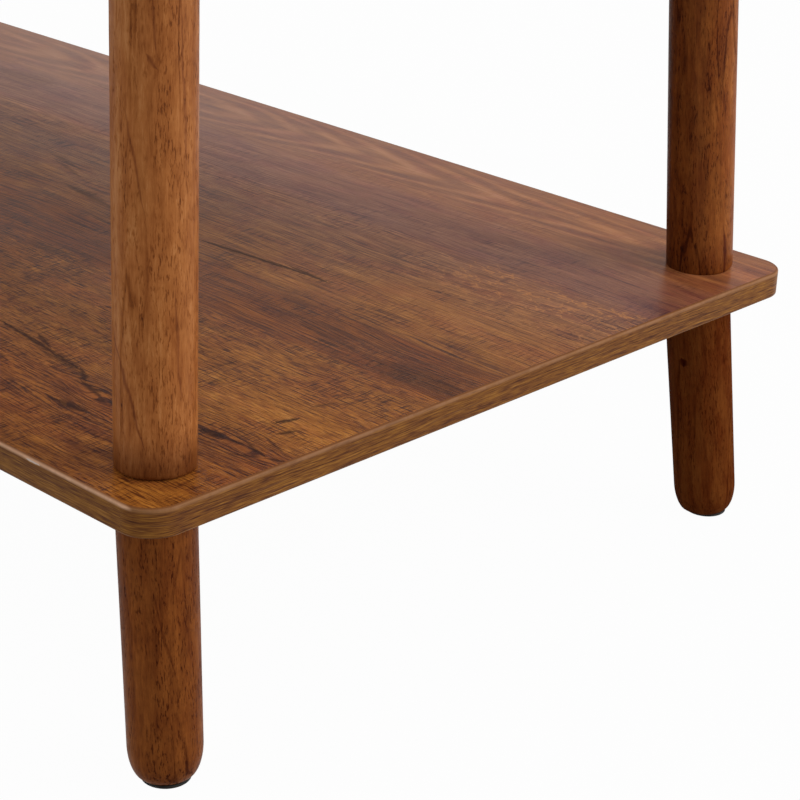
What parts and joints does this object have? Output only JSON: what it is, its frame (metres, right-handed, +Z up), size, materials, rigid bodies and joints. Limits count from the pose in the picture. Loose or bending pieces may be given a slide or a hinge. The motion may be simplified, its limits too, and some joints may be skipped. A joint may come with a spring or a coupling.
{
  "type": "coffee table with shelf",
  "caption": "Rectangular coffee table with a rounded-corner top, a full lower shelf and round splayed wooden legs.",
  "frame": {"origin": "on the floor under the middle of the table", "axes": "+X along the table, -Y its front long side, +Z up"},
  "size_m": [1.016, 0.508, 0.457],
  "materials": {
    "decor_board": "satin melamine with a rustic oak print, grain along the table",
    "edge_band": "satin plastic edge band with a fine oak streak along it",
    "leg_wood": "reddish brown stain under satin lacquer, grain along the leg",
    "glide_pad": "black, matte",
    "zinc_steel": "zinc plated",
    "brass_insert": "bare, satin",
    "black_steel": "black powder coat, fine texture"
  },
  "bodies": {
    "root": {"table_top": "decor_board", "table_top_edge_band": "edge_band", "shelf": "decor_board", "shelf_edge_band": "edge_band", "upper_leg_front_right": "leg_wood", "upper_leg_back_right": "leg_wood", "upper_leg_front_left": "leg_wood", "upper_leg_back_left": "leg_wood", "lower_leg_front_right": "leg_wood", "lower_leg_back_right": "leg_wood", "lower_leg_front_left": "leg_wood", "lower_leg_back_left": "leg_wood", "glide_pad_front_right": "glide_pad", "glide_pad_back_right": "glide_pad", "glide_pad_front_left": "glide_pad", "glide_pad_back_left": "glide_pad", "shelf_bolt_front_right": "zinc_steel", "shelf_bolt_back_right": "zinc_steel", "shelf_bolt_front_left": "zinc_steel", "shelf_bolt_back_left": "zinc_steel", "leg_insert_front_right": "brass_insert", "leg_insert_back_right": "brass_insert", "leg_insert_front_left": "brass_insert", "leg_insert_back_left": "brass_insert", "top_bolt_front_right": "zinc_steel", "top_bolt_back_right": "zinc_steel", "top_bolt_front_left": "zinc_steel", "top_bolt_back_left": "zinc_steel", "top_plate_front_right": "black_steel", "top_plate_back_right": "black_steel", "top_plate_front_left": "black_steel", "top_plate_back_left": "black_steel", "plate_screws": "zinc_steel"}
  },
  "joints": []
}
